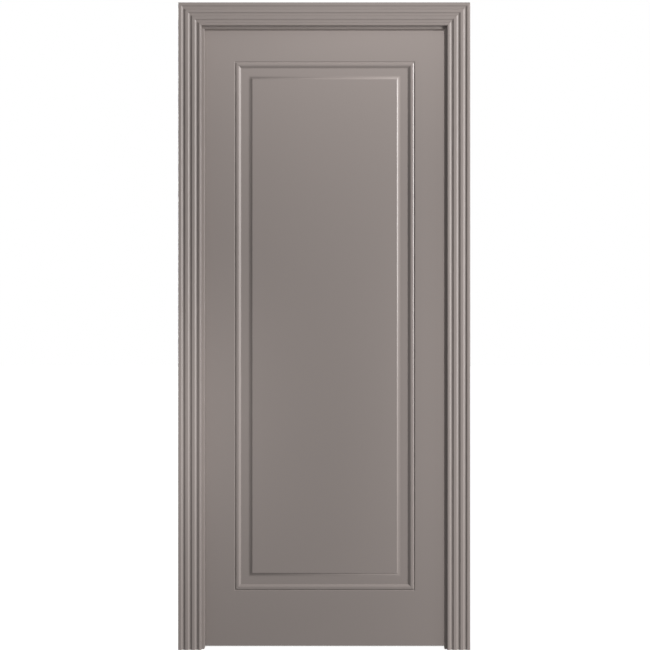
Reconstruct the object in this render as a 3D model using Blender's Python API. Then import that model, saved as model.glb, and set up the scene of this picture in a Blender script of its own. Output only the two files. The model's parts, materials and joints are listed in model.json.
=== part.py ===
# Interior door set: a panelled leaf hung in a rebated frame, with fluted casings in front.
# Metres, +Z up. The front looks along -Y. X = 0 is the middle of the set, Z = 0 is the floor.

import math

import bmesh
import bpy
from mathutils import Matrix, Vector

# Clearance between pieces that touch in the real set
TOUCH_GAP = 0.0003

# Leaf and the gaps around it
LEAF_WIDTH = 0.800
LEAF_HEIGHT = 2.000
LEAF_THICKNESS = 0.040
FLOOR_GAP = 0.003
LEAF_GAP = 0.003
SEAL_GAP = 0.002
STILE_WIDTH = 0.1115
TOP_RAIL_HEIGHT = 0.116
BOTTOM_RAIL_HEIGHT = 0.1805
LEAF_ARRIS = 0.0015

# Raised panel and the beads that hold it
PANEL_SINK = 0.0045
MARGIN_WIDTH = 0.0240
COVE_WIDTH = 0.0130
COVE_STEPS = 8
BEAD_WIDTH = 0.0183
BEAD_FLAT_END = 0.011
BEAD_TOE = 0.0006
QUIRK_HALF_WIDTH = 0.0037
QUIRK_DEPTH = 0.0025

# Frame: two jambs and a head with one rebate
FRAME_DEPTH = 0.070
FRAME_BACKING = 0.029
STOP_RISE = 0.018
FRAME_ARRIS = 0.0015

# Fluted casing on the front
CASING_WIDTH = 0.074
CASING_THICKNESS = 0.014
CASING_SETBACK = 0.008
CASING_INNER_ARRIS = 0.003
CASING_OUTER_ARRIS = 0.0025
FLUTE_COUNT = 3
FLUTE_WIDTH = 0.0130
FLUTE_DEPTH = 0.0038
FLUTE_PITCH = 0.0216
FIRST_FLUTE = 0.0165
FLUTE_STEPS = 10

# Plain casing on the back, flush with the outside of the front one
BACK_CASING_WIDTH = 0.056
BACK_CASING_THICKNESS = 0.014
BACK_CASING_ARRIS = 0.002

# Butt hinges at the left edge of the leaf, with their knuckles at the back
HINGE_COUNT = 3
HINGE_INSET = 0.200
HINGE_LENGTH = 0.100
WING_WIDTH = 0.030
WING_THICKNESS = 0.0025
WING_PLAY = 0.0004
KNUCKLE_COUNT = 5
KNUCKLE_RADIUS = 0.0065
KNUCKLE_STANDOFF = 0.0005
KNUCKLE_PLAY = 0.0004
PIN_RADIUS = 0.003
PIN_OVERHANG = 0.002
ROUND_SIDES = 20

ARRIS_STEPS = 3
CUT_OVERRUN = 0.004

# Paint and metal: colour, roughness, metallic
PAINT = ("satin_paint", (0.262, 0.222, 0.207), 0.42, 0.0)
STEEL = ("satin_steel", (0.52, 0.51, 0.50), 0.33, 1.0)

# Places that follow from the sizes above
FRAME_FRONT = -FRAME_DEPTH / 2
FRAME_BACK = FRAME_DEPTH / 2
LEAF_BACK = FRAME_BACK
LEAF_FRONT = LEAF_BACK - LEAF_THICKNESS
LEAF_HALF = LEAF_WIDTH / 2
LEAF_LOW = FLOOR_GAP
LEAF_TOP = FLOOR_GAP + LEAF_HEIGHT
OPENING_HALF = LEAF_HALF - STILE_WIDTH
OPENING_LOW = LEAF_LOW + BOTTOM_RAIL_HEIGHT
OPENING_HIGH = LEAF_TOP - TOP_RAIL_HEIGHT
STOP_HALF = LEAF_HALF + LEAF_GAP - STOP_RISE
STOP_HIGH = LEAF_TOP + LEAF_GAP - STOP_RISE
CASING_HALF = STOP_HALF + CASING_SETBACK
CASING_HIGH = STOP_HIGH + CASING_SETBACK
BACK_CASING_HALF = CASING_HALF + CASING_WIDTH - BACK_CASING_WIDTH
BACK_CASING_HIGH = CASING_HIGH + CASING_WIDTH - BACK_CASING_WIDTH
PIVOT_X = -(LEAF_HALF + LEAF_GAP / 2)
PIVOT_Y = FRAME_BACK + KNUCKLE_STANDOFF + KNUCKLE_RADIUS


def clear_scene():
    for old in list(bpy.data.objects):
        bpy.data.objects.remove(old, do_unlink=True)


def material(finish):
    name, colour, roughness, metallic = finish
    made = bpy.data.materials.get(name)
    if made is None:
        made = bpy.data.materials.new(name)
        made.use_nodes = True
        shader = made.node_tree.nodes["Principled BSDF"]
        shader.inputs["Base Color"].default_value = (*colour, 1.0)
        shader.inputs["Roughness"].default_value = roughness
        shader.inputs["Metallic"].default_value = metallic
    return made


def add_object(name, bm, finish):
    bmesh.ops.recalc_face_normals(bm, faces=bm.faces)
    if bm.calc_volume(signed=True) < 0.0:
        bmesh.ops.reverse_faces(bm, faces=bm.faces)
    mesh = bpy.data.meshes.new(name)
    bm.to_mesh(mesh)
    bm.free()
    mesh.materials.append(material(finish))
    made = bpy.data.objects.new(name, mesh)
    bpy.context.collection.objects.link(made)
    return made


def as_tool(tool):
    tool.hide_render = True
    tool.display_type = "WIRE"
    return tool


def combine(target, tool, operation):
    modifier = target.modifiers.new(operation.lower() + "_" + tool.name, "BOOLEAN")
    modifier.operation = operation
    modifier.solver = "EXACT"
    modifier.object = as_tool(tool)


def rounded_outline(corners):
    # Each corner is (across, y, radius); a radius above zero becomes an arc.
    points = []
    for place, (across, y, radius) in enumerate(corners):
        corner = Vector((across, y))
        if radius <= 0.0:
            points.append(corner)
            continue
        before = Vector(corners[place - 1][:2])
        after = Vector(corners[(place + 1) % len(corners)][:2])
        to_before = (before - corner).normalized()
        to_after = (after - corner).normalized()
        half_angle = to_before.angle(to_after) / 2
        tangent = radius / math.tan(half_angle)
        centre = corner + (to_before + to_after).normalized() * radius / math.sin(half_angle)
        start = corner + to_before * tangent - centre
        end = corner + to_after * tangent - centre
        turn = start.angle_signed(end)
        for step in range(ARRIS_STEPS + 1):
            spoke = start.copy()
            spoke.rotate(Matrix.Rotation(-turn * step / ARRIS_STEPS, 2))
            points.append(centre + spoke)
    return points


def mitred_bar(name, side, half_width, low, high, outline, finish):
    # A bar of one side of a rectangle. Outline points are (distance outside the rectangle, y).
    # Its ends are cut at 45 degrees, except the foot of a leg, which is square where low is None.
    retreat = TOUCH_GAP / math.sqrt(2)
    bm = bmesh.new()
    sign = -1 if side == "left" else 1
    first_ring = []
    for out, y in outline:
        if side in ("left", "right"):
            start = 0.0 if low is None else low - out + retreat
            first_ring.append(bm.verts.new((sign * (half_width + out), y, start)))
        else:
            level = high + out if side == "top" else low - out
            first_ring.append(bm.verts.new((-(half_width + out) + retreat, y, level)))
    end_face = bm.faces.new(first_ring)
    copied = bmesh.ops.extrude_face_region(bm, geom=[end_face])["geom"]
    for vert in copied:
        if not isinstance(vert, bmesh.types.BMVert):
            continue
        if side in ("left", "right"):
            vert.co.z = high + abs(vert.co.x) - half_width - retreat
        else:
            vert.co.x = -vert.co.x
    return add_object(name, bm, finish)


def box(name, low, high, finish):
    bm = bmesh.new()
    bmesh.ops.create_cube(bm, size=1.0)
    size = Vector(high) - Vector(low)
    middle = (Vector(high) + Vector(low)) / 2
    bmesh.ops.scale(bm, vec=size, verts=bm.verts)
    bmesh.ops.translate(bm, vec=middle, verts=bm.verts)
    return add_object(name, bm, finish)


def upright_cylinder(name, x, y, low, high, radius, finish):
    bm = bmesh.new()
    bmesh.ops.create_cone(
        bm, cap_ends=True, segments=ROUND_SIDES, radius1=radius, radius2=radius, depth=high - low)
    bmesh.ops.translate(bm, vec=(x, y, (low + high) / 2), verts=bm.verts)
    return add_object(name, bm, finish)


def prism(name, outline, low, high, finish):
    # An upright prism of an (x, y) outline.
    bm = bmesh.new()
    foot = bm.faces.new([bm.verts.new((x, y, low)) for x, y in outline])
    copied = bmesh.ops.extrude_face_region(bm, geom=[foot])["geom"]
    top = [item for item in copied if isinstance(item, bmesh.types.BMVert)]
    bmesh.ops.translate(bm, vec=(0, 0, high - low), verts=top)
    return add_object(name, bm, finish)


def long_prism(name, outline, finish):
    # A rail's prism: a (z, y) outline, carried along X from stile to stile.
    reach = OPENING_HALF - TOUCH_GAP
    bm = bmesh.new()
    end = bm.faces.new([bm.verts.new((-reach, y, z)) for z, y in outline])
    copied = bmesh.ops.extrude_face_region(bm, geom=[end])["geom"]
    far = [item for item in copied if isinstance(item, bmesh.types.BMVert)]
    bmesh.ops.translate(bm, vec=(2 * reach, 0, 0), verts=far)
    return add_object(name, bm, finish)


# Front casing

def casing_outline():
    face = FRAME_FRONT - CASING_THICKNESS
    back = FRAME_FRONT - TOUCH_GAP
    corners = [(0.0, back, 0.0), (0.0, face, CASING_INNER_ARRIS)]
    half = FLUTE_WIDTH / 2
    radius = (half ** 2 + FLUTE_DEPTH ** 2) / (2 * FLUTE_DEPTH)
    reach = math.atan2(half, radius - FLUTE_DEPTH)
    for flute in reversed(range(FLUTE_COUNT)):
        middle = CASING_WIDTH - FIRST_FLUTE - flute * FLUTE_PITCH
        for step in range(FLUTE_STEPS + 1):
            angle = reach * (2 * step / FLUTE_STEPS - 1)
            across = middle + radius * math.sin(angle)
            sunk = radius * math.cos(angle) - (radius - FLUTE_DEPTH)
            corners.append((across, face + sunk, 0.0))
    corners += [(CASING_WIDTH, face, CASING_OUTER_ARRIS), (CASING_WIDTH, back, 0.0)]
    return rounded_outline(corners)


def make_front_casing():
    outline = casing_outline()
    for side, name in (("left", "casing_left"), ("right", "casing_right"), ("top", "casing_head")):
        mitred_bar(name, side, CASING_HALF, None, CASING_HIGH, outline, PAINT)


# Back casing

def make_back_casing():
    inner = FRAME_BACK + TOUCH_GAP
    face = FRAME_BACK + BACK_CASING_THICKNESS
    outline = rounded_outline([
        (0.0, inner, 0.0),
        (BACK_CASING_WIDTH, inner, 0.0),
        (BACK_CASING_WIDTH, face, BACK_CASING_ARRIS),
        (0.0, face, BACK_CASING_ARRIS),
    ])
    sides = (("left", "back_casing_left"), ("right", "back_casing_right"), ("top", "back_casing_head"))
    for side, name in sides:
        mitred_bar(name, side, BACK_CASING_HALF, None, BACK_CASING_HIGH, outline, PAINT)


# Frame

def make_frame():
    stop_back = LEAF_FRONT - SEAL_GAP
    outer = STOP_RISE + FRAME_BACKING
    outline = rounded_outline([
        (outer, FRAME_FRONT, 0.0),
        (0.0, FRAME_FRONT, FRAME_ARRIS),
        (0.0, stop_back, FRAME_ARRIS),
        (STOP_RISE, stop_back, 0.0),
        (STOP_RISE, FRAME_BACK, FRAME_ARRIS),
        (outer, FRAME_BACK, 0.0),
    ])
    jambs = {}
    for side, name in (("left", "jamb_left"), ("right", "jamb_right"), ("top", "head_jamb")):
        jambs[side] = mitred_bar(name, side, STOP_HALF, None, STOP_HIGH, outline, PAINT)
    return jambs


# Leaf

def make_stile(name, sign):
    inner = sign * OPENING_HALF
    outer = sign * LEAF_HALF
    outline = rounded_outline([
        (inner, LEAF_FRONT, 0.0),
        (outer, LEAF_FRONT, LEAF_ARRIS),
        (outer, LEAF_BACK, LEAF_ARRIS),
        (inner, LEAF_BACK, 0.0),
    ])
    return prism(name, outline, LEAF_LOW, LEAF_TOP, PAINT)


def make_rail(name, inner, outer, arris):
    outline = rounded_outline([
        (inner, LEAF_FRONT, 0.0),
        (outer, LEAF_FRONT, arris),
        (outer, LEAF_BACK, arris),
        (inner, LEAF_BACK, 0.0),
    ])
    return long_prism(name, outline, PAINT)


def make_quirk_tool(name, face):
    # A ring of diamond section that runs round the opening and cuts its arris to a chamfer.
    section = ((QUIRK_HALF_WIDTH, 0.0), (0.0, QUIRK_DEPTH), (-QUIRK_HALF_WIDTH, 0.0), (0.0, -QUIRK_DEPTH))
    turns = ((-1, -1), (1, -1), (1, 1), (-1, 1))
    bm = bmesh.new()
    corners = []
    for across, up in turns:
        ring = []
        for out, rise in section:
            level = OPENING_HIGH + out if up > 0 else OPENING_LOW - out
            ring.append(bm.verts.new((across * (OPENING_HALF + out), face + rise, level)))
        corners.append(ring)
    for place, ring in enumerate(corners):
        following = corners[(place + 1) % len(corners)]
        for point in range(len(section)):
            beside = (point + 1) % len(section)
            bm.faces.new((ring[point], ring[beside], following[beside], following[point]))
    return add_object(name, bm, PAINT)


def make_leaf_frame():
    stiles = {"left": make_stile("hinge_stile", -1), "right": make_stile("lock_stile", 1)}
    members = list(stiles.values())
    members.append(make_rail("top_rail", OPENING_HIGH, LEAF_TOP, LEAF_ARRIS))
    members.append(make_rail("bottom_rail", OPENING_LOW, LEAF_LOW, 0.0))
    for tool_name, face in (("quirk_front_tool", LEAF_FRONT), ("quirk_back_tool", LEAF_BACK)):
        tool = make_quirk_tool(tool_name, face)
        for member in members:
            combine(member, tool, "DIFFERENCE")
    return stiles


def make_panel():
    half = OPENING_HALF - TOUCH_GAP
    low = (-half, LEAF_FRONT + PANEL_SINK, OPENING_LOW + TOUCH_GAP)
    high = (half, LEAF_BACK - PANEL_SINK, OPENING_HIGH - TOUCH_GAP)
    bm = bmesh.new()
    bmesh.ops.create_cube(bm, size=1.0)
    bmesh.ops.scale(bm, vec=Vector(high) - Vector(low), verts=bm.verts)
    bmesh.ops.translate(bm, vec=(Vector(high) + Vector(low)) / 2, verts=bm.verts)
    bm.normal_update()
    sweep = 2 * math.atan(PANEL_SINK / COVE_WIDTH)
    radius = COVE_WIDTH / math.sin(sweep)
    for face in [face for face in bm.faces if abs(face.normal.y) > 0.5]:
        flat = BEAD_WIDTH + MARGIN_WIDTH - TOUCH_GAP
        bmesh.ops.inset_region(bm, faces=[face], thickness=flat, use_even_offset=True)
        across = 0.0
        risen = 0.0
        for step in range(1, COVE_STEPS + 1):
            angle = sweep * step / COVE_STEPS
            next_across = radius * math.sin(angle)
            next_risen = radius * (1 - math.cos(angle))
            bmesh.ops.inset_region(
                bm, faces=[face], thickness=next_across - across, depth=next_risen - risen,
                use_even_offset=True)
            across = next_across
            risen = next_risen
    return add_object("raised_panel", bm, PAINT)


def make_beads():
    for place, face, inward in (("front", LEAF_FRONT, 1), ("back", LEAF_BACK, -1)):
        seat = face + inward * (PANEL_SINK - TOUCH_GAP)
        toe = seat - inward * BEAD_TOE
        outline = [
            (-TOUCH_GAP, seat),
            (-TOUCH_GAP, face + inward * QUIRK_DEPTH),
            (-QUIRK_HALF_WIDTH, face),
            (-BEAD_FLAT_END, face),
            (-BEAD_WIDTH, toe),
            (-BEAD_WIDTH, seat),
        ]
        for side in ("left", "right", "top", "bottom"):
            name = "bead_" + place + "_" + side
            mitred_bar(name, side, OPENING_HALF, OPENING_LOW, OPENING_HIGH, outline, PAINT)


# Hinges

def hinge_heights():
    lowest = LEAF_LOW + HINGE_INSET
    highest = LEAF_TOP - HINGE_INSET
    step = (highest - lowest) / (HINGE_COUNT - 1)
    return [lowest + step * place for place in range(HINGE_COUNT)]


def knuckle_span(middle, place):
    pitch = HINGE_LENGTH / KNUCKLE_COUNT
    low = middle - HINGE_LENGTH / 2 + place * pitch
    return low + KNUCKLE_PLAY / 2, low + pitch - KNUCKLE_PLAY / 2


def wing_sides(sign):
    near = PIVOT_X + sign * WING_PLAY / 2
    far = near + sign * WING_THICKNESS
    return min(near, far), max(near, far)


def make_wing(name, sign, middle, own_knuckles):
    # A plate with one neck for each of its own knuckles, and the knuckles' barrels.
    plate_back = FRAME_BACK - KNUCKLE_STANDOFF
    corners = [(FRAME_BACK - WING_WIDTH, middle + HINGE_LENGTH / 2)]
    corners.append((FRAME_BACK - WING_WIDTH, middle - HINGE_LENGTH / 2))
    corners.append((plate_back, middle - HINGE_LENGTH / 2))
    for place in own_knuckles:
        low, high = knuckle_span(middle, place)
        neck_low = low + KNUCKLE_PLAY
        neck_high = high - KNUCKLE_PLAY
        corners += [(plate_back, neck_low), (PIVOT_Y, neck_low), (PIVOT_Y, neck_high), (plate_back, neck_high)]
    corners.append((plate_back, middle + HINGE_LENGTH / 2))
    left, right = wing_sides(sign)
    bm = bmesh.new()
    flat = bm.faces.new([bm.verts.new((left, y, z)) for y, z in corners])
    copied = bmesh.ops.extrude_face_region(bm, geom=[flat])["geom"]
    far = [item for item in copied if isinstance(item, bmesh.types.BMVert)]
    bmesh.ops.translate(bm, vec=(right - left, 0, 0), verts=far)
    wing = add_object(name, bm, STEEL)
    for place in own_knuckles:
        low, high = knuckle_span(middle, place)
        barrel_name = name + "_barrel_" + str(place)
        barrel = upright_cylinder(barrel_name, PIVOT_X, PIVOT_Y, low, high, KNUCKLE_RADIUS, STEEL)
        combine(wing, barrel, "UNION")
    return wing


def make_mortise_tool(name, sign, middle):
    left, right = wing_sides(sign)
    if sign < 0:
        left -= TOUCH_GAP
        right += CUT_OVERRUN
    else:
        left -= CUT_OVERRUN
        right += TOUCH_GAP
    reach = HINGE_LENGTH / 2 + TOUCH_GAP
    low = (left, FRAME_BACK - WING_WIDTH - TOUCH_GAP, middle - reach)
    high = (right, FRAME_BACK + CUT_OVERRUN, middle + reach)
    return box(name, low, high, STEEL)


def make_hinges(jamb, stile):
    low_end = -HINGE_LENGTH / 2 - PIN_OVERHANG
    high_end = HINGE_LENGTH / 2 + PIN_OVERHANG
    for number, middle in enumerate(hinge_heights(), start=1):
        suffix = "_" + str(number)
        frame_wing = make_wing("hinge_frame_wing" + suffix, -1, middle, range(0, KNUCKLE_COUNT, 2))
        leaf_wing = make_wing("hinge_leaf_wing" + suffix, 1, middle, range(1, KNUCKLE_COUNT, 2))
        pin = upright_cylinder(
            "pin_tool" + suffix, PIVOT_X, PIVOT_Y, middle + low_end, middle + high_end, PIN_RADIUS, STEEL)
        combine(frame_wing, pin, "UNION")
        bore = upright_cylinder(
            "bore_tool" + suffix, PIVOT_X, PIVOT_Y, middle + low_end, middle + high_end,
            PIN_RADIUS + KNUCKLE_PLAY, STEEL)
        combine(leaf_wing, bore, "DIFFERENCE")
        combine(jamb, make_mortise_tool("jamb_mortise_tool" + suffix, -1, middle), "DIFFERENCE")
        combine(stile, make_mortise_tool("stile_mortise_tool" + suffix, 1, middle), "DIFFERENCE")


def build():
    clear_scene()
    make_front_casing()
    make_back_casing()
    jambs = make_frame()
    stiles = make_leaf_frame()
    make_panel()
    make_beads()
    make_hinges(jambs["left"], stiles["left"])


build()
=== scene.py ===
# Interior door set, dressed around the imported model: satin painted joinery and steel hinges.
import json
import math

import bmesh
import bpy
from mathutils import Matrix, Vector

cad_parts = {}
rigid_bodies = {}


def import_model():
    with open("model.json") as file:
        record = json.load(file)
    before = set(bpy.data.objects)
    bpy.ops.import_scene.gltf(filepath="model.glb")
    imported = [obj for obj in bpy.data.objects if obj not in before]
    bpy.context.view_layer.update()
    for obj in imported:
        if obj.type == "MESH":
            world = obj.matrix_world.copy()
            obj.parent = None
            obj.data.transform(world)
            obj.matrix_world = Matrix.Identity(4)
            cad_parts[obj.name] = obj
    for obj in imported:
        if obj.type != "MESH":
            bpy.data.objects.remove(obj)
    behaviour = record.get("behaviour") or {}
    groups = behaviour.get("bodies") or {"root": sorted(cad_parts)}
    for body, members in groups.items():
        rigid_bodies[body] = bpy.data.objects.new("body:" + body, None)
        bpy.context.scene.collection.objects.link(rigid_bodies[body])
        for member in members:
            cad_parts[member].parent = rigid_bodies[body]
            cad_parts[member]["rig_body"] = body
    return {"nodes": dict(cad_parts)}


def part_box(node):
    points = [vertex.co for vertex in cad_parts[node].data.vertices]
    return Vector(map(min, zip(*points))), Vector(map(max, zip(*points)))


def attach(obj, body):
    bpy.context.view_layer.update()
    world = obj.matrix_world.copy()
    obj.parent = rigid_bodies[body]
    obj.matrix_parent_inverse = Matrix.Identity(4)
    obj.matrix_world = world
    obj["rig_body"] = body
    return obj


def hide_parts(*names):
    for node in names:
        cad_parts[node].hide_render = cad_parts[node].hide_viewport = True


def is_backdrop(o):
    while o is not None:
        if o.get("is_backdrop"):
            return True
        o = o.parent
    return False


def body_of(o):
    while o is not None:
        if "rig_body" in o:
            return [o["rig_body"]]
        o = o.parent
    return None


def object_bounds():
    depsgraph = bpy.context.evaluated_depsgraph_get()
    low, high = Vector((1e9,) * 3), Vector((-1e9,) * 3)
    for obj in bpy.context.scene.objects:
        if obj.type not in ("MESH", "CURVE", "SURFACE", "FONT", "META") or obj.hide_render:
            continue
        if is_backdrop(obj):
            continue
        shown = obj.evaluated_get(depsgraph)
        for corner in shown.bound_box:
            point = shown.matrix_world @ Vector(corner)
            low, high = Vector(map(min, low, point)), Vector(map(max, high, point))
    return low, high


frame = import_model()
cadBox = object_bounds()
print("frame loaded:", len(frame["nodes"]), "nodes")

touchGap = 0.0003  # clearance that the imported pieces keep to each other


# Materials

def startMaterial(name):
    made = bpy.data.materials.new(name)
    made.use_nodes = True
    nodes = made.node_tree.nodes
    return made, nodes, made.node_tree.links, nodes["Principled BSDF"]


def addNoise(nodes, scale, detail):
    noise = nodes.new("ShaderNodeTexNoise")
    noise.inputs["Scale"].default_value = scale
    noise.inputs["Detail"].default_value = detail
    return noise


def addTone(nodes, dark, light):
    tone = nodes.new("ShaderNodeMix")
    tone.data_type = "RGBA"
    tone.inputs["A"].default_value = dark
    tone.inputs["B"].default_value = light
    return tone


def addRange(nodes, limits):
    spread = nodes.new("ShaderNodeMapRange")
    spread.inputs["To Min"].default_value = limits[0]
    spread.inputs["To Max"].default_value = limits[1]
    return spread


def addBump(nodes, height):
    bump = nodes.new("ShaderNodeBump")
    bump.inputs["Strength"].default_value = 1.0
    bump.inputs["Distance"].default_value = height
    return bump


paintSettings = {
    "tone": (0.252, 0.219, 0.205, 1.0),
    "paleTone": (0.264, 0.228, 0.213, 1.0),
    "cloudScale": 2.2,       # broad drift of the tone, per metre
    "cloudDetail": 3.0,
    "roughness": (0.34, 0.40),
    "specular": 0.5,
    "peelScale": 520.0,      # orange peel left by the spray gun
    "peelDetail": 1.0,
    "peelHeight": 0.00002,
    "leanScale": 36.0,       # slow waviness of the board under the paint
    "leanDetail": 2.0,
    "leanHeight": 0.00006,
}


def makePaint():
    s = paintSettings
    made, nodes, links, shader = startMaterial("satinEnamel")
    place = nodes.new("ShaderNodeTexCoord")
    clouds = addNoise(nodes, s["cloudScale"], s["cloudDetail"])
    lean = addNoise(nodes, s["leanScale"], s["leanDetail"])
    peel = addNoise(nodes, s["peelScale"], s["peelDetail"])
    tone = addTone(nodes, s["tone"], s["paleTone"])
    sheen = addRange(nodes, s["roughness"])
    leanBump = addBump(nodes, s["leanHeight"])
    peelBump = addBump(nodes, s["peelHeight"])
    for noise in (clouds, lean, peel):
        links.new(place.outputs["Object"], noise.inputs["Vector"])
    links.new(clouds.outputs["Fac"], tone.inputs["Factor"])
    links.new(tone.outputs["Result"], shader.inputs["Base Color"])
    links.new(lean.outputs["Fac"], sheen.inputs["Value"])
    links.new(sheen.outputs["Result"], shader.inputs["Roughness"])
    links.new(lean.outputs["Fac"], leanBump.inputs["Height"])
    links.new(peel.outputs["Fac"], peelBump.inputs["Height"])
    links.new(leanBump.outputs["Normal"], peelBump.inputs["Normal"])
    links.new(peelBump.outputs["Normal"], shader.inputs["Normal"])
    shader.inputs["Specular IOR Level"].default_value = s["specular"]
    return made


steelSettings = {
    "dark": (0.50, 0.49, 0.475, 1.0),
    "light": (0.60, 0.59, 0.575, 1.0),
    "grain": (60.0, 60.0, 2400.0),  # rolled lines run across the hinge
    "grainDetail": 4.0,
    "roughness": (0.26, 0.40),
    "grainHeight": 0.000006,
}


def makeSteel():
    s = steelSettings
    made, nodes, links, shader = startMaterial("satinSteel")
    shader.inputs["Metallic"].default_value = 1.0
    place = nodes.new("ShaderNodeTexCoord")
    stretch = nodes.new("ShaderNodeMapping")
    stretch.inputs["Scale"].default_value = s["grain"]
    grain = addNoise(nodes, 1.0, s["grainDetail"])
    tone = addTone(nodes, s["dark"], s["light"])
    polish = addRange(nodes, s["roughness"])
    bump = addBump(nodes, s["grainHeight"])
    links.new(place.outputs["Object"], stretch.inputs["Vector"])
    links.new(stretch.outputs["Vector"], grain.inputs["Vector"])
    links.new(grain.outputs["Fac"], tone.inputs["Factor"])
    links.new(tone.outputs["Result"], shader.inputs["Base Color"])
    links.new(grain.outputs["Fac"], polish.inputs["Value"])
    links.new(polish.outputs["Result"], shader.inputs["Roughness"])
    links.new(grain.outputs["Fac"], bump.inputs["Height"])
    links.new(bump.outputs["Normal"], shader.inputs["Normal"])
    return made


paint = makePaint()
steel = makeSteel()
print("materials made")


# Shared steps of every piece

buildSettings = {
    "sharpAngle": 40.0,        # in degrees, above which an edge is shaded sharp
    "arrisSteps": 5,
    "fineSteps": 3,            # the same on the smallest arrises
    "overrun": 0.15,           # stock past both ends before it is sawn
    "mitreGap": 0.0001,
    "edgeReach": 0.00002,      # how far an edge may lie from its point of the outline
    "sawReach": 0.0000005,
    "weldReach": 0.00001,
}


def addPiece(bm, name, material, body, nodes, sharpAngle=buildSettings["sharpAngle"]):
    bmesh.ops.recalc_face_normals(bm, faces=bm.faces)
    if bm.calc_volume(signed=True) < 0.0:  # a long thin bar can come out inside out
        bmesh.ops.reverse_faces(bm, faces=bm.faces)
    mesh = bpy.data.meshes.new(name)
    bm.to_mesh(mesh)
    bm.free()
    mesh.shade_smooth()
    mesh.set_sharp_from_angle(angle=math.radians(sharpAngle))
    mesh.materials.append(material)
    piece = bpy.data.objects.new(name, mesh)
    bpy.context.scene.collection.objects.link(piece)
    weighted = piece.modifiers.new("evenShading", "WEIGHTED_NORMAL")  # keeps the flats flat
    weighted.keep_sharp = True
    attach(piece, body)
    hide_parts(*nodes)
    return piece


def vertsOf(geometry):
    return [item for item in geometry if isinstance(item, bmesh.types.BMVert)]


def drawOutline(bm, moves):
    # A move is a point to go to, or an arc: centre, turn in radians and steps.
    start = tip = bm.verts.new((*moves[0], 0.0))
    for move in moves[1:]:
        if len(move) == 2:
            following = bm.verts.new((*move, 0.0))
            bm.edges.new((tip, following))
        else:
            centre, turn, steps = move
            swept = bmesh.ops.spin(
                bm, geom=[tip], cent=(*centre, 0.0), axis=(0, 0, 1), angle=turn, steps=steps,
                use_duplicate=False)
            following = vertsOf(swept["geom_last"])[0]
        tip = following
    bm.edges.new((tip, start))
    return bmesh.ops.edgeloop_fill(bm, edges=bm.edges[:])["faces"][0]


def easeArrises(bm, arrises):
    # Rounds the long edges that stand on the given points of the outline.
    nearness = buildSettings["edgeReach"]
    for across, depth, radius, steps in arrises:
        chosen = []
        for edge in bm.edges:
            along = abs(edge.verts[0].co.z - edge.verts[1].co.z)
            offAcross = max(abs(vert.co.x - across) for vert in edge.verts)
            offDepth = max(abs(vert.co.y - depth) for vert in edge.verts)
            if along > nearness and offAcross < nearness and offDepth < nearness:
                chosen.append(edge)
        bmesh.ops.bevel(
            bm, geom=chosen, offset=radius, offset_type="OFFSET", segments=steps, profile=0.5,
            affect="EDGES", material=-1, clamp_overlap=True)


def cutEnd(bm, point, normal):
    geometry = bm.verts[:] + bm.edges[:] + bm.faces[:]
    bmesh.ops.bisect_plane(
        bm, geom=geometry, dist=buildSettings["sawReach"], plane_co=point, plane_no=normal,
        clear_outer=True)
    bmesh.ops.edgeloop_fill(bm, edges=[edge for edge in bm.edges if edge.is_boundary])


def sideMatrix(side, halfWidth, low, high):
    # From (outwards, depth, along) to the place on that side of the rectangle.
    middle = (low + high) / 2
    rows = {
        "left": ((-1, 0, 0, -halfWidth), (0, 1, 0, 0), (0, 0, 1, middle)),
        "right": ((1, 0, 0, halfWidth), (0, 1, 0, 0), (0, 0, 1, middle)),
        "top": ((0, 0, 1, 0), (0, 1, 0, 0), (1, 0, 0, high)),
        "bottom": ((0, 0, 1, 0), (0, 1, 0, 0), (-1, 0, 0, low)),
    }[side]
    return Matrix((*rows, (0, 0, 0, 1)))


def mitredBar(side, halfWidth, low, high, moves, arrises, squareFoot=False):
    # Stock of the outline, run past both ends, eased, then sawn at 45 degrees or square.
    halfRun = (high - low) / 2 if side in ("left", "right") else halfWidth
    overrun = buildSettings["overrun"]
    mitreGap = buildSettings["mitreGap"]
    bm = bmesh.new()
    face = drawOutline(bm, moves)
    bmesh.ops.translate(bm, vec=(0, 0, -halfRun - overrun), verts=bm.verts)
    grown = bmesh.ops.extrude_face_region(bm, geom=[face])
    bmesh.ops.translate(bm, vec=(0, 0, 2 * (halfRun + overrun)), verts=vertsOf(grown["geom"]))
    easeArrises(bm, arrises)
    cutEnd(bm, (0, 0, halfRun - mitreGap), Vector((-1, 0, 1)).normalized())
    if squareFoot:
        cutEnd(bm, (0, 0, -halfRun), (0, 0, -1))
    else:
        cutEnd(bm, (0, 0, -halfRun + mitreGap), Vector((-1, 0, -1)).normalized())
    bmesh.ops.transform(bm, matrix=sideMatrix(side, halfWidth, low, high), verts=bm.verts)
    return bm


def boxMesh(low, high):
    bm = bmesh.new()
    bmesh.ops.create_cube(bm, size=1.0)
    bmesh.ops.scale(bm, vec=Vector(high) - Vector(low), verts=bm.verts)
    bmesh.ops.translate(bm, vec=(Vector(high) + Vector(low)) / 2, verts=bm.verts)
    bm.normal_update()
    return bm


def scratchObject(bm):
    held = bpy.data.objects.new("scratch", bpy.data.meshes.new("scratch"))
    bm.to_mesh(held.data)
    bm.free()
    bpy.context.scene.collection.objects.link(held)
    return held


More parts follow.
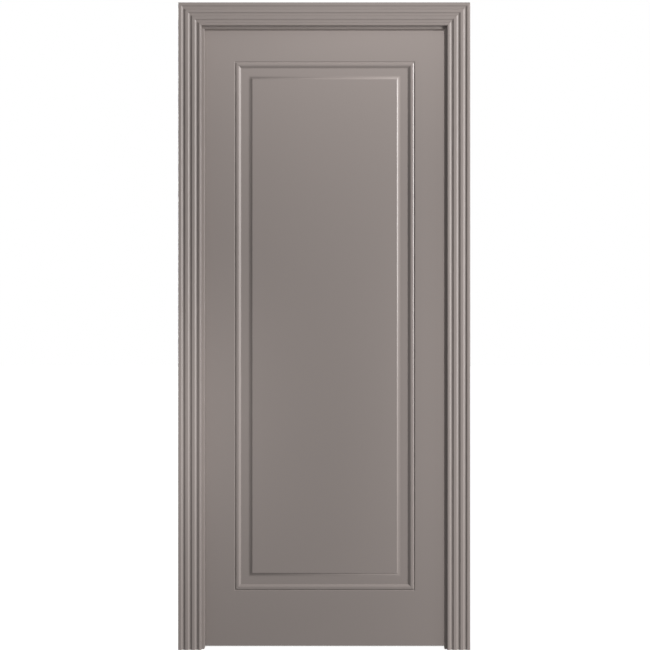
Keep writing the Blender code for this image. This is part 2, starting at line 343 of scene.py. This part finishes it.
def cutAway(bm, cutters):
    # Cuts the shapes of the cutters out of a mesh for good.
    blank = scratchObject(bm)
    tools = [scratchObject(cutter) for cutter in cutters]
    for tool in tools:
        cut = blank.modifiers.new("cut", "BOOLEAN")
        cut.operation = "DIFFERENCE"
        cut.solver = "EXACT"
        cut.object = tool
    bpy.context.view_layer.update()
    evaluated = blank.evaluated_get(bpy.context.evaluated_depsgraph_get())
    done = bmesh.new()
    done.from_mesh(evaluated.to_mesh())
    evaluated.to_mesh_clear()
    for held in tools + [blank]:
        mesh = held.data
        bpy.data.objects.remove(held, do_unlink=True)
        bpy.data.meshes.remove(mesh)
    return done


# Fluted casing on the front

casingSettings = {
    "innerArris": 0.0030,
    "outerArris": 0.0028,
    "fluteCount": 3,
    "fluteWidth": 0.0130,
    "fluteDepth": 0.0038,
    "flutePitch": 0.0216,
    "firstFlute": 0.0165,   # middle of the outermost flute from the outer edge
    "fluteSteps": 18,
    "ridgeArris": 0.0005,
    "sharpAngle": 30.0,
}


def makeFrontCasing():
    s = casingSettings
    steps = buildSettings["arrisSteps"]
    fineSteps = buildSettings["fineSteps"]
    legLow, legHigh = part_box("casing_right")
    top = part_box("casing_head")[0].z
    halfWidth = legLow.x
    width = legHigh.x - legLow.x
    face = legLow.y
    back = legHigh.y
    half = s["fluteWidth"] / 2
    radius = (half ** 2 + s["fluteDepth"] ** 2) / (2 * s["fluteDepth"])
    centreDepth = face - (radius - s["fluteDepth"])
    turn = 4 * math.atan(s["fluteDepth"] / half)
    moves = [(0.0, back), (0.0, face)]
    arrises = [(0.0, face, s["innerArris"], steps), (width, face, s["outerArris"], steps)]
    for flute in reversed(range(s["fluteCount"])):
        middle = width - s["firstFlute"] - flute * s["flutePitch"]
        moves.append((middle - half, face))
        moves.append(((middle, centreDepth), -turn, s["fluteSteps"]))
        arrises.append((middle - half, face, s["ridgeArris"], fineSteps))
        arrises.append((middle + half, face, s["ridgeArris"], fineSteps))
    moves += [(width, face), (width, back)]
    for side, name in (("left", "casing_left"), ("right", "casing_right"), ("top", "casing_head")):
        bm = mitredBar(side, halfWidth, 0.0, top, moves, arrises, squareFoot=side != "top")
        addPiece(
            bm, "fluted_" + name, paint, "frame", [name], sharpAngle=s["sharpAngle"])
    print("front casing made")


# Plain casing on the back

backCasingSettings = {"arris": 0.0020}


def makeBackCasing():
    arris = backCasingSettings["arris"]
    steps = buildSettings["arrisSteps"]
    legLow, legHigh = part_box("back_casing_right")
    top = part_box("back_casing_head")[0].z
    halfWidth = legLow.x
    width = legHigh.x - legLow.x
    inner = legLow.y
    face = legHigh.y
    moves = [(0.0, inner), (width, inner), (width, face), (0.0, face)]
    arrises = [(0.0, face, arris, steps), (width, face, arris, steps)]
    for side in ("left", "right", "top"):
        name = "back_casing_" + ("head" if side == "top" else side)
        bm = mitredBar(side, halfWidth, 0.0, top, moves, arrises, squareFoot=side != "top")
        addPiece(bm, "plain_" + name, paint, "frame", [name])
    print("back casing made")


# Rebated frame

frameSettings = {"arris": 0.0009, "stopRise": 0.018, "sealGap": 0.002}


def makeFrame(recesses):
    s = frameSettings
    steps = buildSettings["arrisSteps"]
    jambLow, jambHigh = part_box("jamb_right")
    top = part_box("head_jamb")[0].z
    front = jambLow.y
    back = jambHigh.y
    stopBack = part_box("lock_stile")[0].y - s["sealGap"]
    width = jambHigh.x - jambLow.x
    rise = s["stopRise"]
    moves = [(width, front), (0.0, front), (0.0, stopBack), (rise, stopBack), (rise, back), (width, back)]
    arrises = [
        (0.0, front, s["arris"], steps),
        (0.0, stopBack, s["arris"], steps),
        (rise, back, s["arris"], steps),
    ]
    for side, name in (("left", "jamb_left"), ("right", "jamb_right"), ("top", "head_jamb")):
        bm = mitredBar(side, jambLow.x, 0.0, top, moves, arrises, squareFoot=side != "top")
        if side == "left":
            bm = cutAway(bm, recesses)
        addPiece(bm, "rebated_" + name, paint, "frame", [name])
    print("frame made")


# Leaf: stiles and rails under one coat of paint

leafSettings = {
    "arris": 0.0015,
    "arrisSteps": 4,
    "quirkHalfWidth": 0.0037,
    "quirkDepth": 0.0025,
}


def openingOfLeaf():
    railLow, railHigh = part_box("top_rail")
    return railHigh.x + touchGap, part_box("bottom_rail")[1].z, railLow.z


def faceTowards(bm, sign):
    return max(bm.faces, key=lambda face: (round(face.normal.y * sign, 3), face.calc_area()))


def makeLeafFrame(recesses):
    s = leafSettings
    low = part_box("hinge_stile")[0]
    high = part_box("lock_stile")[1]
    openingHalf, openingLow, openingHigh = openingOfLeaf()
    bm = boxMesh(low, high)
    bmesh.ops.bevel(
        bm, geom=bm.edges[:], offset=s["arris"], offset_type="OFFSET", segments=s["arrisSteps"],
        profile=0.5, affect="EDGES", material=-1)
    margins = []
    for sign in (-1, 1):
        bm.normal_update()
        face = faceTowards(bm, sign)
        inset = high.x - s["arris"] - (openingHalf + s["quirkHalfWidth"])
        bmesh.ops.inset_region(bm, faces=[face], thickness=inset, use_even_offset=True)
        middle = (low.z + high.z) / 2
        for vert in face.verts:
            if vert.co.z > middle:
                vert.co.z = openingHigh + s["quirkHalfWidth"]
            else:
                vert.co.z = openingLow - s["quirkHalfWidth"]
        bmesh.ops.inset_region(
            bm, faces=[face], thickness=s["quirkHalfWidth"], depth=-s["quirkDepth"], use_even_offset=True)
        margins.append(face)
    rims = [edge for face in margins for edge in face.edges]
    bmesh.ops.delete(bm, geom=margins, context="FACES_ONLY")
    bmesh.ops.bridge_loops(bm, edges=rims)
    addPiece(
        cutAway(bm, recesses), "leaf_stiles_and_rails", paint, "leaf",
        ["hinge_stile", "lock_stile", "top_rail", "bottom_rail"])
    print("leaf frame made")


# Raised panel, fielded on both faces

panelSettings = {
    "sink": 0.0045,
    "beadWidth": 0.0183,
    "marginWidth": 0.0240,
    "coveWidth": 0.0130,
    "coveSteps": 16,
    "fieldArris": 0.0006,
}


def makePanel():
    s = panelSettings
    openingHalf, openingLow, openingHigh = openingOfLeaf()
    leafLow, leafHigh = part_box("lock_stile")
    low = (-openingHalf, leafLow.y + s["sink"], openingLow)
    high = (openingHalf, leafHigh.y - s["sink"], openingHigh)
    bm = boxMesh(low, high)
    sweep = 2 * math.atan(s["sink"] / s["coveWidth"])
    radius = s["coveWidth"] / math.sin(sweep)
    fields = []
    for sign in (-1, 1):
        face = faceTowards(bm, sign)
        bmesh.ops.inset_region(
            bm, faces=[face], thickness=s["beadWidth"] + s["marginWidth"], use_even_offset=True)
        across = risen = 0.0
        for step in range(1, s["coveSteps"] + 1):
            angle = sweep * step / s["coveSteps"]
            nextAcross = radius * math.sin(angle)
            nextRisen = radius * (1 - math.cos(angle))
            bmesh.ops.inset_region(
                bm, faces=[face], thickness=nextAcross - across, depth=nextRisen - risen,
                use_even_offset=True)
            across, risen = nextAcross, nextRisen
        fields.append(face)
    bmesh.ops.bevel(
        bm, geom=[edge for face in fields for edge in face.edges], offset=s["fieldArris"],
        offset_type="OFFSET", segments=buildSettings["fineSteps"], profile=0.5, affect="EDGES",
        material=-1)
    addPiece(bm, "fielded_panel", paint, "leaf", ["raised_panel"])
    print("panel made")


# Beads that hold the panel

beadSettings = {
    "flatEnd": 0.011,
    "toe": 0.0006,
    "arris": 0.0005,
    "slopeArris": 0.0010,
    "sharpAngle": 25.0,
}


def makeBeads():
    s = beadSettings
    fineSteps = buildSettings["fineSteps"]
    openingHalf, openingLow, openingHigh = openingOfLeaf()
    leafLow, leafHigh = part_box("lock_stile")
    width = panelSettings["beadWidth"]
    quirk = leafSettings["quirkHalfWidth"]
    for place, face, inward in (("front", leafLow.y, 1), ("back", leafHigh.y, -1)):
        seat = face + inward * panelSettings["sink"]
        moves = [
            (0.0, seat),
            (0.0, face + inward * leafSettings["quirkDepth"]),
            (-quirk, face),
            (-s["flatEnd"], face),
            (-width, seat - inward * s["toe"]),
            (-width, seat),
        ]
        arrises = [
            (-quirk, face, s["arris"], fineSteps),
            (-s["flatEnd"], face, s["slopeArris"], fineSteps),
        ]
        for side in ("left", "right", "top", "bottom"):
            bm = mitredBar(side, openingHalf, openingLow, openingHigh, moves, arrises)
            node = "bead_" + place + "_" + side
            addPiece(
                bm, "panel_" + node, paint, "leaf", [node], sharpAngle=s["sharpAngle"])
    print("beads made")


# Butt hinges: two wings with rolled knuckles, a pin and eight screws on each hinge

hingeSettings = {
    "wingThickness": 0.0025,
    "wingPlay": 0.0004,
    "wingWidth": 0.0300,
    "standoff": 0.0005,        # from the frame's back to the knuckles
    "cornerRadius": 0.0080,
    "cornerSteps": 8,
    "recessOverrun": 0.0040,   # of the cutter, past the wood
    "plateArris": 0.0003,
    "plateSteps": 2,
    "knuckles": 5,
    "knucklePlay": 0.0004,
    "knuckleArris": 0.0005,
    "barrelSides": 48,
    "neckOverlap": 0.0010,     # of the knuckle's neck, into the plate
    "neckShare": 0.55,         # of the knuckle's radius, where the neck ends
    "pinRadius": 0.0030,
    "boreGap": 0.0002,
    "pinOverhang": 0.0020,
    "pinDome": 0.0012,
    "domeSteps": 6,
    "screwRows": (0.0085, 0.0215),          # from the far edge of the wing, taken in turn
    "screwHeights": (-0.036, -0.012, 0.012, 0.036),
    "screwRadius": 0.0042,
    "shankRadius": 0.0020,
    "sinkDepth": 0.0021,
    "sinkOverrun": 0.0004,
    "headGap": 0.0004,         # from the head to the rim of its sink
    "headEase": 0.0002,
    "headDip": 0.00015,
    "screwTurn": (17.0, 40.0, 900.0),  # degrees at first, over the wing's width and per metre of height
    "crossLength": 0.0050,
    "crossWidth": 0.0010,
    "crossDepth": 0.0011,
    "screwSides": 32,
    "weldReach": 0.000002,
    "sharpAngle": 30.0,
}


def hingePlaces():
    # Number, pivot, middle height, knuckle radius and length of each hinge, from its packed wing.
    number = 1
    while "hinge_frame_wing_" + str(number) in frame["nodes"]:
        low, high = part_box("hinge_frame_wing_" + str(number))
        radius = (high.x - low.x) / 2
        yield number, (low.x + high.x) / 2, high.y - radius, (low.z + high.z) / 2, radius, high.z - low.z
        number += 1


def plateMatrix(face, sign, middle):
    # From (depth, along, into the wood) to the place of a wing: its face looks at the other wing.
    return Matrix(((0, 0, sign, face), (1, 0, 0, 0), (0, 1, 0, middle), (0, 0, 0, 1)))


def plateBlank(far, near, half, corner, thickness):
    steps = hingeSettings["cornerSteps"]
    moves = [(near, -half), (near, half), (far + corner, half)]
    moves.append(((far + corner, half - corner), math.pi / 2, steps))
    moves.append((far, corner - half))
    moves.append(((far + corner, corner - half), math.pi / 2, steps))
    bm = bmesh.new()
    face = drawOutline(bm, moves)
    grown = bmesh.ops.extrude_face_region(bm, geom=[face])
    bmesh.ops.translate(bm, vec=(0, 0, thickness), verts=vertsOf(grown["geom"]))
    return bm


def hingeRecess(sign):
    # The routed seats of the wings, a hair larger than the wings.
    s = hingeSettings
    overrun = s["recessOverrun"]
    cutters = []
    for number, pivotX, pivotY, middle, radius, length in hingePlaces():
        near = pivotY - radius - s["standoff"]
        half = length / 2 - s["pinOverhang"] + touchGap
        far = near - s["wingWidth"] - touchGap
        bm = plateBlank(
            far, near + overrun, half, s["cornerRadius"] + touchGap,
            s["wingThickness"] + touchGap + overrun)
        bmesh.ops.translate(bm, vec=(0, 0, -overrun), verts=bm.verts)
        face = pivotX + sign * s["wingPlay"] / 2
        bmesh.ops.transform(bm, matrix=plateMatrix(face, sign, middle), verts=bm.verts)
        bmesh.ops.recalc_face_normals(bm, faces=bm.faces)
        cutters.append(bm)
    return cutters


def turnedPart(bm, profile, sides, place):
    # Spins (radius, height) points round the upright line through place.
    verts = [bm.verts.new((place[0] + across, place[1], place[2] + up)) for across, up in profile]
    edges = [bm.edges.new(pair) for pair in zip(verts, verts[1:])]
    bmesh.ops.spin(
        bm, geom=verts + edges, cent=place, axis=(0, 0, 1), angle=2 * math.pi, steps=sides,
        use_merge=True, use_duplicate=False)


def screwHead():
    s = hingeSettings
    bm = bmesh.new()
    top = -s["headDip"]
    rim = s["screwRadius"] - s["headGap"]
    turnedPart(bm, [
        (0.0, -s["sinkDepth"]),
        (s["shankRadius"], -s["sinkDepth"]),
        (rim, top - s["headEase"]),
        (rim - s["headEase"], top),
        (0.0, top),
    ], s["screwSides"], (0.0, 0.0, 0.0))
    bmesh.ops.remove_doubles(bm, verts=bm.verts, dist=buildSettings["weldReach"])
    bmesh.ops.recalc_face_normals(bm, faces=bm.faces)
    cutters = []
    for across, along in ((s["crossLength"], s["crossWidth"]), (s["crossWidth"], s["crossLength"])):
        low = (-across / 2, -along / 2, top - s["crossDepth"])
        cutters.append(boxMesh(low, (across / 2, along / 2, top + s["crossDepth"])))
    return cutAway(bm, cutters)


def screwPlaces(sign):
    s = hingeSettings
    rows = s["screwRows"] if sign < 0 else s["screwRows"][::-1]
    return [(rows[place % 2], height) for place, height in enumerate(s["screwHeights"])]


def makeWing(body, sign, hinge, ownKnuckles, head):
    s = hingeSettings
    number, pivotX, pivotY, middle, radius, length = hinge
    near = pivotY - radius - s["standoff"]
    far = near - s["wingWidth"] + s["standoff"]
    half = length / 2 - s["pinOverhang"]
    pitch = 2 * half / s["knuckles"]
    face = pivotX + sign * s["wingPlay"] / 2
    matrix = plateMatrix(face, sign, middle)

    plate = plateBlank(far, near, half, s["cornerRadius"], s["wingThickness"])
    bmesh.ops.bevel(
        plate, geom=plate.edges[:], offset=s["plateArris"], offset_type="OFFSET",
        segments=s["plateSteps"], profile=0.5, affect="EDGES", material=-1)
    bmesh.ops.recalc_face_normals(plate, faces=plate.faces)
    overrun = s["sinkOverrun"]
    sinks = []
    for row, height in screwPlaces(sign):
        sink = bmesh.new()
        bmesh.ops.create_cone(
            sink, cap_ends=True, segments=s["screwSides"], radius1=s["screwRadius"] + overrun,
            radius2=s["shankRadius"], depth=s["sinkDepth"] + overrun)
        bmesh.ops.translate(sink, vec=(far + row, height, (s["sinkDepth"] - overrun) / 2), verts=sink.verts)
        sinks.append(sink)
    wing = cutAway(plate, sinks)
    bmesh.ops.transform(wing, matrix=matrix, verts=wing.verts)

    arris = s["knuckleArris"]
    bore = s["pinRadius"] + s["boreGap"]
    neckSides = sorted((face, face + sign * s["wingThickness"]))
    neckFront = near - s["neckOverlap"]
    neckBack = pivotY - radius * s["neckShare"]
    for place in ownKnuckles:
        low = middle - half + place * pitch + s["knucklePlay"] / 2
        high = low + pitch - s["knucklePlay"]
        neck = boxMesh((neckSides[0], neckFront, low + arris), (neckSides[1], neckBack, high - arris))
        neckMesh = bpy.data.meshes.new("neck")
        neck.to_mesh(neckMesh)
        neck.free()
        wing.from_mesh(neckMesh)
        bpy.data.meshes.remove(neckMesh)
        turnedPart(wing, [
            (bore, low), (radius - arris, low), (radius, low + arris), (radius, high - arris),
            (radius - arris, high), (bore, high), (bore, low),
        ], s["barrelSides"], (pivotX, pivotY, 0.0))
    bmesh.ops.remove_doubles(wing, verts=wing.verts, dist=s["weldReach"])
    node = "hinge_" + body + "_wing_" + str(number)
    addPiece(wing, "butt_" + node, steel, body, [node], sharpAngle=s["sharpAngle"])

    screws = bmesh.new()
    flip = Matrix.Scale(-1, 4, (0, 0, 1))
    first, acrossTurn, upTurn = s["screwTurn"]
    for row, height in screwPlaces(sign):
        angle = first + acrossTurn * row / s["wingWidth"] + upTurn * abs(height)
        turn = Matrix.Rotation(math.radians(angle), 4, "Z")
        before = len(screws.verts)
        screws.from_mesh(head)
        screws.verts.ensure_lookup_table()
        bmesh.ops.transform(
            screws, matrix=matrix @ Matrix.Translation((far + row, height, 0)) @ flip @ turn,
            verts=screws.verts[before:])
    addPiece(screws, "screws_" + node, steel, body, [], sharpAngle=s["sharpAngle"])


def makePin(hinge):
    s = hingeSettings
    number, pivotX, pivotY, middle, radius, length = hinge
    low = middle - length / 2
    high = middle + length / 2
    pin = s["pinRadius"]
    dome = s["pinDome"]
    steps = s["domeSteps"]
    profile = [(0.0, low)]
    for step in range(1, steps + 1):
        angle = math.pi / 2 * step / steps
        profile.append((pin * math.sin(angle), low + dome * (1 - math.cos(angle))))
    for step in reversed(range(1, steps + 1)):
        angle = math.pi / 2 * step / steps
        profile.append((pin * math.sin(angle), high - dome * (1 - math.cos(angle))))
    profile.append((0.0, high))
    bm = bmesh.new()
    turnedPart(bm, profile, s["screwSides"], (pivotX, pivotY, 0.0))
    bmesh.ops.remove_doubles(bm, verts=bm.verts, dist=buildSettings["weldReach"])
    addPiece(
        bm, "hinge_pin_" + str(number), steel, "frame", [], sharpAngle=s["sharpAngle"])


def makeHinges():
    headBm = screwHead()
    head = bpy.data.meshes.new("screwHead")
    headBm.to_mesh(head)
    headBm.free()
    for hinge in hingePlaces():
        makeWing("frame", -1, hinge, range(0, hingeSettings["knuckles"], 2), head)
        makeWing("leaf", 1, hinge, range(1, hingeSettings["knuckles"], 2), head)
        makePin(hinge)
    bpy.data.meshes.remove(head)
    print("hinges made")


# Floor, light and camera

stageSettings = {
    "floorSize": 60.0,
    "floorTone": (0.90, 0.90, 0.90, 1.0),
    "floorRoughness": 0.9,
    "floorGlow": 0.82,            # lifts the paper floor to white
    "floorDrop": 0.0002,          # below the feet of the set
    "worldTone": (1.0, 1.0, 1.0, 1.0),
    "worldStrength": 0.335,       # of the light from all round
    "paperStrength": 1.0,         # of the background that the camera sees
}

# Soft boxes: the two in front light one body each, so the frame throws no shadow on the leaf
boxSize = (0.9, 4.0)
boxAim = (0.0, 0.0, 1.1)
boxSettings = {
    "leafKey": {"place": (4.15, -1.83, 2.80), "power": 402.0, "bodies": ("leaf",)},
    "frameKey": {"place": (3.80, -2.80, 1.95), "power": 296.0, "bodies": ("frame",)},
    "backKey": {"place": (-4.00, 2.30, 2.60), "power": 420.0, "bodies": ("leaf", "frame")},
}

# Wide soft spots: washes over the top of the leaf and of the frame, and one low at each side
washRadius = 0.25
washBlend = 1.0
washSettings = {
    "topWash": {
        "place": (0.5, -1.4, 3.7), "aim": (0.2, 0.0, 2.62), "cone": 42.0, "stretch": 1.8, "power": 175.0,
        "bodies": ("leaf",)},
    "headWash": {
        "place": (0.3, -1.9, 3.4), "aim": (0.0, 0.0, 2.6), "cone": 34.0, "stretch": 2.2, "power": 112.0,
        "bodies": ("frame",)},
    "leftWash": {
        "place": (-0.2, -2.9, 1.6), "aim": (-0.5, 0.0, 0.72), "cone": 20.5, "stretch": 0.76, "power": 95.0,
        "bodies": ("leaf", "frame")},
    "rightWash": {
        "place": (0.75, -2.6, 1.2), "aim": (0.55, 0.0, 0.66), "cone": 38.0, "stretch": 0.42, "power": 46.0,
        "bodies": ("leaf",)},
}

cameraSettings = {
    "distance": 4.4,           # from the face of the front casing
    "sideways": 0.146,         # the photograph is taken from a little to the right
    "height": 1.0387,
    "viewCentre": 0.0026,
    "viewHeight": 2.0767,      # what the square picture takes in at the casing's face
    "sensor": 36.0,
}


def makeFloor():
    bm = bmesh.new()
    bmesh.ops.create_grid(bm, x_segments=1, y_segments=1, size=stageSettings["floorSize"] / 2)
    mesh = bpy.data.meshes.new("floor")
    bm.to_mesh(mesh)
    bm.free()
    made, _, _, shader = startMaterial("paleFloor")
    shader.inputs["Base Color"].default_value = stageSettings["floorTone"]
    shader.inputs["Roughness"].default_value = stageSettings["floorRoughness"]
    shader.inputs["Emission Color"].default_value = (1.0, 1.0, 1.0, 1.0)
    shader.inputs["Emission Strength"].default_value = stageSettings["floorGlow"]
    mesh.materials.append(made)
    floor = bpy.data.objects.new("floor", mesh)
    floor.location.z = -stageSettings["floorDrop"]
    floor.visible_diffuse = False   # paper below the set, not a lamp
    floor.visible_glossy = False
    bpy.context.scene.collection.objects.link(floor)
    floor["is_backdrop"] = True


def pieceGroup(bodies):
    # The pieces of the named bodies. A lamp linked to them lights and shades nothing else.
    group = bpy.data.collections.new("_".join(bodies) + "_lit")
    for piece in bpy.context.scene.objects:
        if piece.type == "MESH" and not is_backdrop(piece) and body_of(piece)[0] in bodies:
            group.objects.link(piece)
    return group


def placeLamp(name, light, s, aimPoint):
    light.energy = s["power"]
    lamp = bpy.data.objects.new(name, light)
    lamp.location = s["place"]
    aim = Vector(aimPoint) - Vector(s["place"])
    lamp.rotation_euler = aim.to_track_quat("-Z", "Y").to_euler()
    group = pieceGroup(s["bodies"])
    lamp.light_linking.receiver_collection = group
    lamp.light_linking.blocker_collection = group
    bpy.context.scene.collection.objects.link(lamp)
    return lamp


def makeLamps():
    for name, s in boxSettings.items():
        light = bpy.data.lights.new(name, "AREA")
        light.shape = "RECTANGLE"
        light.size, light.size_y = boxSize
        placeLamp(name, light, s, boxAim)
    for name, s in washSettings.items():
        light = bpy.data.lights.new(name, "SPOT")
        light.spot_size = math.radians(s["cone"])
        light.spot_blend = washBlend
        light.shadow_soft_size = washRadius
        wash = placeLamp(name, light, s, s["aim"])
        wash.scale.x = s["stretch"]
        wash.visible_glossy = False


def makeWorld():
    world = bpy.data.worlds.new("studio")
    bpy.context.scene.world = world
    world.use_nodes = True
    nodes = world.node_tree.nodes
    links = world.node_tree.links
    ambient = nodes["Background"]
    ambient.inputs["Color"].default_value = stageSettings["worldTone"]
    ambient.inputs["Strength"].default_value = stageSettings["worldStrength"]
    paper = nodes.new("ShaderNodeBackground")
    paper.inputs["Color"].default_value = stageSettings["worldTone"]
    paper.inputs["Strength"].default_value = stageSettings["paperStrength"]
    path = nodes.new("ShaderNodeLightPath")
    pick = nodes.new("ShaderNodeMixShader")
    links.new(path.outputs["Is Camera Ray"], pick.inputs["Fac"])
    links.new(ambient.outputs["Background"], pick.inputs[1])
    links.new(paper.outputs["Background"], pick.inputs[2])
    links.new(pick.outputs["Shader"], nodes["World Output"].inputs["Surface"])


def makeCamera():
    s = cameraSettings
    lens = bpy.data.cameras.new("camera")
    lens.sensor_width = s["sensor"]
    lens.lens = s["sensor"] * s["distance"] / s["viewHeight"]
    lens.shift_x = (s["viewCentre"] - s["sideways"]) / s["viewHeight"]
    camera = bpy.data.objects.new("camera", lens)
    camera.location = (s["sideways"], cadBox[0].y - s["distance"], s["height"])
    camera.rotation_euler = (math.pi / 2, 0.0, 0.0)
    bpy.context.scene.collection.objects.link(camera)
    bpy.context.scene.camera = camera


bpy.context.scene.view_settings.view_transform = "Standard"
makeCamera()
makeWorld()
makeFloor()
makeFrontCasing()
makeBackCasing()
makeFrame(hingeRecess(-1))
makeLeafFrame(hingeRecess(1))
makePanel()
makeBeads()
makeHinges()
makeLamps()
print("floor, world, camera and lamps made")
